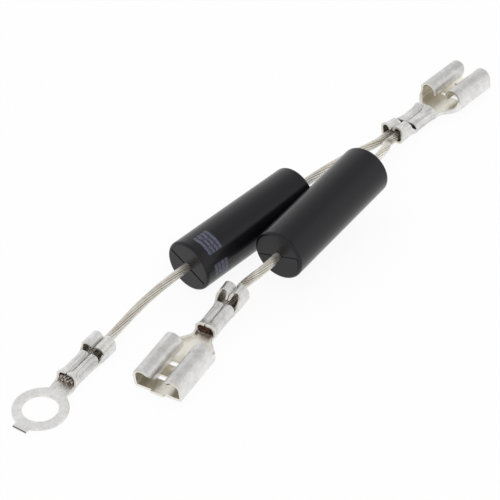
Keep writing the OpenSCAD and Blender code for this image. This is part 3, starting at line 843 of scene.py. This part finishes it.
def tin_plate():
    """Bright tin on formed sheet. It is cloudy, duller where it was worked, and scored by the dies along the
    sheet there. Painted shade darkens the tops of the rolled wings and the whole shared receptacle. Painted
    warm reflected light tints the inner face of the folds, and painted shade darkens the inside of the
    barrels. It shows darker metal where it was cut or torn off its strip."""
    settings = bpy.context.scene.diode_terminals
    finish = Finish("tin_plate")
    cloud, grain = finish.noise(finish.where, TIN_CLOUDS, detail=4), finish.noise(finish.where, TIN_GRAIN)
    across, along = finish.attribute("across") * DRAWN_ACROSS, finish.attribute("along") * DRAWN_ALONG
    drawn = finish.noise(finish.node("ShaderNodeCombineXYZ", {}, {"X": across, "Y": along}), 1)
    labels = ("cut_edge", "torn", "worked", "inside", "dulled")
    rim, torn, worked, inside, dulled = (finish.attribute(label) for label in labels)
    tin, dull_tin_and_shade, bare = opaque(settings.tin), opaque(settings.tin, DULL_TIN_AND_SHADE), opaque(settings.bare)
    spots = 0.3 * finish.lively(cloud) + 0.24 * finish.lively(grain) + 0.12 * worked
    # Mottling, and painted shade on the tops of rolled wings and all over the shared receptacle, mix the tin
    # towards its darker copy
    plated = finish.mix(finish.clamped(spots + 0.36 * dulled), tin, dull_tin_and_shade)
    scored = finish.mix(0.8 * worked * finish.clamped((drawn - 0.52) * 7), plated, dull_tin_and_shade)
    # Painted warm reflected light on the inner face of the folds
    folded = finish.mix(0.7 * inside, scored, opaque(settings.warm))
    # Painted shade inside the worked barrels, from the colour of cut sheet at half its brightness
    shaded = finish.mix(0.9 * inside * worked * worked, folded, opaque(settings.bare, SHADED))
    cut = finish.mix(0.15 * rim, shaded, bare)
    relief = drawn * (0.5 + 1.5 * worked) + grain * (0.4 + 0.8 * worked)
    finish.set(
        base_color=finish.mix(0.9 * torn, cut, opaque(settings.bare, TORN)),
        metallic=1.0,
        roughness=settings.gloss - 0.06 + 0.12 * cloud + 0.08 * worked,
        normal=finish.bump(relief, strength=0.6, depth=0.06),
    )
    return finish.material


def tinned_strands():
    """Tinned copper strands: warm grey, each of its own tone, darkened by painted shade in the crimp, and
    dark where they were cut."""
    settings = bpy.context.scene.diode_leads
    finish = Finish("tinned_strands")
    cloud = finish.noise(finish.where, STRAND_CLOUDS)
    tone, cut = finish.attribute("strand_tone"), finish.attribute("cut_end")
    worn = finish.clamped((tone * 0.9 + cloud * 0.8 - 0.5) * 1.4)
    bright = finish.mix(worn, opaque(settings.tinned), opaque(settings.worn))
    # Painted shade in the crimp: a darker copy of the worn colour
    strand = finish.mix(0.8 * finish.attribute("hidden"), bright, opaque(settings.worn, STRAND_SHADE_LEVEL))
    finish.set(
        base_color=finish.mix(cut, strand, opaque(settings.cut)),
        metallic=1 - 0.8 * cut,
        roughness=0.34 + 0.16 * cloud,
        normal=finish.bump(finish.noise(finish.where, STRAND_GRAIN, detail=2), strength=0.1, depth=0.03),
    )
    return finish.material


class BodySettings(bpy.types.PropertyGroup):
    """Colours and marks of the moulded bodies."""

    epoxy: FloatVectorProperty(
        name="Epoxy", description="Colour of the moulding", default=(0.0052, 0.0052, 0.0072), subtype="COLOR"
    )
    ink: FloatVectorProperty(
        name="Ink", description="Colour of the printed bars", default=(0.12, 0.125, 0.185), subtype="COLOR"
    )
    bar_from: FloatProperty(
        name="First Bar", description="Distance from the end face", default=1.45 * MM, unit="LENGTH"
    )
    bar_pitch: FloatProperty(
        name="Bar Pitch", description="Distance from one bar to the next", default=0.66 * MM, unit="LENGTH"
    )
    bars: IntProperty(name="Bars", description="Bars in each block", default=4, min=1, max=8)


def moulded_epoxy(name, place, blocks):
    """Black moulded epoxy with a satin gloss. Blocks of printed bars run round the body: each block is a
    range of angles round the axis, in degrees. Specks break up the ink and the bars' edges."""
    settings = bpy.context.scene.diode_bodies
    finish = Finish(name)
    turn = math.atan2(-place[1][0], place[1][1])
    rise = math.asin(place[1][2])
    local = finish.node(
        "ShaderNodeMapping",
        {"vector_type": "TEXTURE"},
        {"Vector": finish.where, "Location": tuple(place[3] * MM), "Rotation": (rise, 0, turn)},
    )
    x, y, z = finish.node("ShaderNodeSeparateXYZ", {}, {0: local}, ("X", "Y", "Z"))
    angle = finish.math("ARCTAN2", z, x) * (180 / math.pi)
    speck = finish.noise(local, INK_SPECKS, detail=4, roughness=0.7)
    lane = (y - settings.bar_from) / settings.bar_pitch + 0.5 * (speck - 0.5)
    gap = finish.math("ABSOLUTE", finish.math("FRACT", lane) - 0.5)
    bar = finish.clamped((0.45 - gap) * 8) * (lane > 0) * (lane < settings.bars)
    inside = sum(((angle > low) * (angle < high) for low, high in blocks), start=0)
    ink = finish.clamped(bar * inside * (speck - 0.3) * 3.2)
    cloud = finish.noise(local, EPOXY_CLOUDS)
    finish.set(
        base_color=finish.mix(ink, opaque(settings.epoxy), opaque(settings.ink)),
        roughness=0.2 + 0.08 * cloud + 0.2 * ink,
        specular_ior_level=0.32,
        normal=finish.bump(finish.noise(local, EPOXY_GRAIN, detail=2) + cloud, strength=0.06, depth=0.03),
    )
    return finish.material


def soldered_dice(name, place):
    """Column of dice: grey silicon with bright lines of solder at even steps along the body."""
    finish = Finish(name)
    ways = {0: finish.where, 1: tuple(place[1])}
    run = finish.node("ShaderNodeVectorMath", {"operation": "DOT_PRODUCT"}, ways, "Value")
    steps = (run - float(place[3] @ place[1]) * MM) / (DIE_PITCH * MM)
    solder = finish.math("FRACT", steps) < SOLDER_SHARE
    grain = finish.noise(finish.where, DIE_GRAIN)
    finish.set(
        base_color=finish.mix(solder, opaque(SILICON), opaque(SOLDER)),
        metallic=0.9,
        roughness=0.25 + 0.2 * solder + 0.1 * grain,
    )
    return finish.material


# Stage

# Floor and lamp in metres, and the heights in the sky, from 0 to 1, between which its white falls off
FLOOR_REACH, FLOOR_Z = 3.0, -0.02 * MM
LAMP_D, LAMP_AT = 1.2, (-0.05, 0.1, 0.9)
WHITE_UP_TO, CEILING_FROM = 0.5, 0.95

# Camera as it was fitted to the photo
LENS, SENSOR = 139.69, 36.0
CAMERA_AT = (0.1359326, -0.1102739, 0.1777045)
AZIMUTH, ELEVATION = math.radians(42.18), math.radians(41.05)
CLIP_NEAR, CLIP_FAR = 0.01, 10


class StageSettings(bpy.types.PropertyGroup):
    """Light and floor round the part."""

    sky: FloatProperty(name="Sky", description="Level of the even light all round", default=0.93, min=0)
    ceiling: FloatProperty(
        name="Ceiling", description="White overhead in metal", default=0.5, subtype="FACTOR", min=0, max=1
    )
    key: FloatProperty(
        name="Key", description="Power of the soft light overhead", default=0.7, min=0, unit="POWER"
    )
    floor: FloatVectorProperty(
        name="Floor", description="Colour of the floor", default=(0.93, 0.93, 0.93), subtype="COLOR"
    )
    glow: FloatProperty(
        name="White", description="Share of white in the floor as seen", default=0.92, subtype="FACTOR"
    )


def white_floor(settings):
    """Matt floor, mostly plain white to the camera and in reflections, so that a faint shadow stays."""
    finish = Finish("white_floor")
    finish.set(base_color=opaque(settings.floor), roughness=0.9, specular_ior_level=0.0)
    white = finish.node("ShaderNodeEmission", {}, {"Strength": 1.0})
    plain = Value(finish, finish.surface.outputs[0])
    seen = finish.seen_directly() * settings.glow
    mixed = finish.node("ShaderNodeMixShader", {}, {0: seen, 1: plain, 2: white})
    finish.put(finish.tree.nodes["Material Output"].inputs["Surface"], mixed)
    return finish.material


def even_light(settings):
    """World with even light all round. The camera and reflections see it white, and darker overhead."""
    world = bpy.data.worlds.new("even_light")
    world.use_nodes = True
    light = Nodes(world.node_tree)
    way = light.node("ShaderNodeTexCoord", {}, {}, "Generated")
    height = light.node("ShaderNodeSeparateXYZ", {}, {0: way}, "Z")
    span = {"From Min": WHITE_UP_TO, "From Max": CEILING_FROM, "To Min": 1.0, "To Max": settings.ceiling}
    smooth = {"interpolation_type": "SMOOTHSTEP"}
    white = light.node("ShaderNodeMapRange", smooth, {"Value": height, **span})
    background = world.node_tree.nodes["Background"]
    strength = settings.sky + (white - settings.sky) * light.seen_directly()
    light.put(background.inputs["Strength"], strength)
    light.put(background.inputs["Color"], opaque((1, 1, 1)))
    return world


class DIODE_OT_stage(bpy.types.Operator):
    """Sets up the white floor, the soft light and the camera"""

    bl_idname = "diode.stage"
    bl_label = "Stage"

    def execute(self, context):
        scene, settings = context.scene, context.scene.diode_stage
        mesh = bpy.data.meshes.new("floor")
        signs = ((-1, -1), (1, -1), (1, 1), (-1, 1))
        mesh.from_pydata([(x * FLOOR_REACH, y * FLOOR_REACH, FLOOR_Z) for x, y in signs], [], [(0, 1, 2, 3)])
        floor = bpy.data.objects.new("floor", mesh)
        scene.collection.objects.link(floor)
        mesh.materials.append(white_floor(settings))
        scene.world = even_light(settings)

        lamp = bpy.data.lights.new("overhead", "AREA")
        lamp.shape, lamp.size, lamp.energy = "DISK", LAMP_D, settings.key
        overhead = bpy.data.objects.new("overhead", lamp)
        overhead.location = LAMP_AT
        scene.collection.objects.link(overhead)

        camera = bpy.data.cameras.new("photo_view")
        camera.lens, camera.sensor_width = LENS, SENSOR
        camera.clip_start, camera.clip_end = CLIP_NEAR, CLIP_FAR
        viewer = bpy.data.objects.new("photo_view", camera)
        turn, tilt = Matrix.Rotation(AZIMUTH, 4, "Z"), Matrix.Rotation(math.pi / 2 - ELEVATION, 4, "X")
        viewer.matrix_world = Matrix.Translation(CAMERA_AT) @ turn @ tilt
        scene.collection.objects.link(viewer)
        scene.camera = viewer
        scene.view_settings.view_transform = "Standard"
        return {"FINISHED"}


class DIODE_OT_terminals(bpy.types.Operator):
    """Builds the ring terminal and both tab receptacles from formed sheet"""

    bl_idname = "diode.terminals"
    bl_label = "Terminals"

    def execute(self, context):
        finish, settings = tin_plate(), context.scene.diode_terminals
        single = receptacle_shell(SINGLE_WIRE, settings.grip_lean, SINGLE_REAR, 0.0)
        shared = receptacle_shell(DOUBLE_WIRE, settings.shared_lean, SHARED_REAR, SHARED_SHADE)
        shells = {
            "ring_terminal": (ring_shell(), RING_FRAME),
            "tab_receptacle": (single, TAB_FRAME),
            "common_receptacle": (shared, COMMON_FRAME),
        }
        for node, ((points, faces, marks), place) in shells.items():
            shape = placed(points, place), faces, marks
            stand_in(node, "sheet", shape, SHEET_SMOOTH, finish)
        return {"FINISHED"}


class DIODE_OT_leads(bpy.types.Operator):
    """Builds the four stranded leads"""

    bl_idname = "diode.leads"
    bl_label = "Leads"

    def execute(self, context):
        finish = tinned_strands()
        for lead in LEADS:
            stand_in(lead.node, "strands", stranded_lead(lead), STRAND_SMOOTH, finish)
        return {"FINISHED"}


class DIODE_OT_bodies(bpy.types.Operator):
    """Gives the moulded bodies and the dice inside them their finishes"""

    bl_idname = "diode.bodies"
    bl_label = "Bodies"

    def execute(self, context):
        nodes = frame["nodes"]
        finishes = {
            "rectifier_body": moulded_epoxy("rectifier_epoxy", RECTIFIER_FRAME, BAR_BLOCKS),
            "protector_body": moulded_epoxy("protector_epoxy", PROTECTOR_FRAME, ()),
            "rectifier_die_stack": soldered_dice("rectifier_dice", RECTIFIER_FRAME),
            "protector_die_stack": soldered_dice("protector_dice", PROTECTOR_FRAME),
        }
        for node, finish in finishes.items():
            nodes[node].material_slots[0].material = finish
        return {"FINISHED"}


class DIODE_PT_panel(bpy.types.Panel):
    """Lists the pieces of the diode and their settings"""

    bl_label = "High-Voltage Diode"
    bl_idname = "DIODE_PT_panel"
    bl_space_type = "VIEW_3D"
    bl_region_type = "UI"
    bl_category = "Diode"

    def draw(self, context):
        for name, (operator, _) in STEPS.items():
            box = self.layout.box()
            box.operator(operator.bl_idname)
            settings = getattr(context.scene, name)
            for key in settings.__annotations__:
                box.prop(settings, key)


STEPS = {
    "diode_stage": (DIODE_OT_stage, StageSettings),
    "diode_terminals": (DIODE_OT_terminals, TerminalSettings),
    "diode_leads": (DIODE_OT_leads, LeadSettings),
    "diode_bodies": (DIODE_OT_bodies, BodySettings),
}
CLASSES = (*(cls for step in STEPS.values() for cls in step), DIODE_PT_panel)


def register():
    for cls in CLASSES:
        bpy.utils.register_class(cls)
    for name, (_, group) in STEPS.items():
        setattr(bpy.types.Scene, name, PointerProperty(type=group))


def unregister():
    for name in STEPS:
        delattr(bpy.types.Scene, name)
    for cls in reversed(CLASSES):
        bpy.utils.unregister_class(cls)


def main():
    register()
    bpy.ops.diode.stage()
    bpy.ops.diode.terminals()
    bpy.ops.diode.leads()
    bpy.ops.diode.bodies()


if __name__ == "__main__":
    main()
